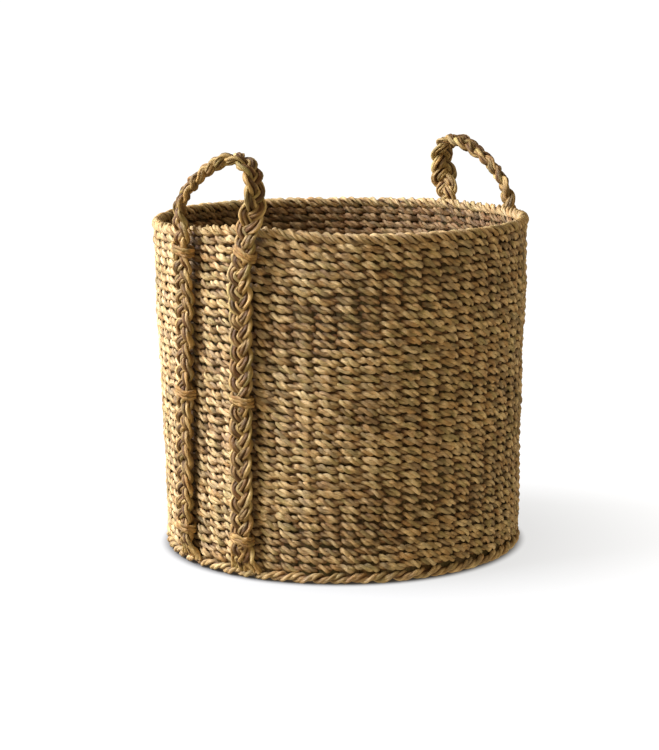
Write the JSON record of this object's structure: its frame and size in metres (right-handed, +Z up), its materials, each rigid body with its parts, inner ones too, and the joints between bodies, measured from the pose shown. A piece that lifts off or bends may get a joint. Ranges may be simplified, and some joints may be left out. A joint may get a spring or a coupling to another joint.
{
  "type": "seagrass storage basket",
  "caption": "Round twined seagrass storage basket, open at the top, with plaited strap handles that run up the wall from the foot and loop above the rim.",
  "frame": {"origin": "middle of the underside, on the surface that the basket stands on", "axes": "+Z up; the left handle stands at -X and the right handle at 12.5 degrees clockwise from +X, seen from above"},
  "size_m": [0.478, 0.4304, 0.4668],
  "materials": {
    "weft": "dry twisted seagrass strand, straw and tan, fibrous and matt with a slight waxy sheen",
    "rim": "twisted seagrass rope, tan, matt",
    "foot": "thick twisted seagrass rope, tan, matt",
    "base": "twined seagrass mat, tan, matt",
    "stake": "seagrass stake cord, brown, matt",
    "strap": "flat plait of bundled seagrass cords, pale straw with a green cast",
    "lashing": "seagrass cord wrapped round the strap, pale straw"
  },
  "bodies": {
    "basket": {"base_underside": "base", "stake_frame": "stake", "base_floor": "base", "foot_border": "foot", "rim_border": "rim", "wall_course_1_outer_weft": "weft", "wall_course_1_inner_weft": "weft", "wall_course_2_outer_weft": "weft", "wall_course_2_inner_weft": "weft", "wall_course_3_outer_weft": "weft", "wall_course_3_inner_weft": "weft", "wall_course_4_outer_weft": "weft", "wall_course_4_inner_weft": "weft", "wall_course_5_outer_weft": "weft", "wall_course_5_inner_weft": "weft", "wall_course_6_outer_weft": "weft", "wall_course_6_inner_weft": "weft", "wall_course_7_outer_weft": "weft", "wall_course_7_inner_weft": "weft", "wall_course_8_outer_weft": "weft", "wall_course_8_inner_weft": "weft", "wall_course_9_outer_weft": "weft", "wall_course_9_inner_weft": "weft", "wall_course_10_outer_weft": "weft", "wall_course_10_inner_weft": "weft", "wall_course_11_outer_weft": "weft", "wall_course_11_inner_weft": "weft", "wall_course_12_outer_weft": "weft", "wall_course_12_inner_weft": "weft", "wall_course_13_outer_weft": "weft", "wall_course_13_inner_weft": "weft", "left_handle_first_leg": "strap", "left_first_bottom_lashing": "lashing", "left_first_middle_lashing": "lashing", "left_first_top_lashing": "lashing", "left_handle_second_leg": "strap", "left_second_bottom_lashing": "lashing", "left_second_middle_lashing": "lashing", "left_second_top_lashing": "lashing", "right_handle_first_leg": "strap", "right_first_bottom_lashing": "lashing", "right_first_middle_lashing": "lashing", "right_first_top_lashing": "lashing", "right_handle_second_leg": "strap", "right_second_bottom_lashing": "lashing", "right_second_middle_lashing": "lashing", "right_second_top_lashing": "lashing"},
    "left_loop": {"left_handle_loop": "strap"},
    "right_loop": {"right_handle_loop": "strap"}
  },
  "joints": [
    {"name": "left_handle_tilt", "type": "hinge", "parent": "basket", "child": "left_loop", "pos_m": [-0.22087, 0, 0.381], "axis": [0, -1, 0], "range_deg": [-30, 45], "stiffness_Nm_per_rad": 0.6},
    {"name": "right_handle_tilt", "type": "hinge", "parent": "basket", "child": "right_loop", "pos_m": [0.21436, -0.04752, 0.381], "axis": [0.2164, 0.9763, 0], "range_deg": [-30, 45], "stiffness_Nm_per_rad": 0.6}
  ]
}
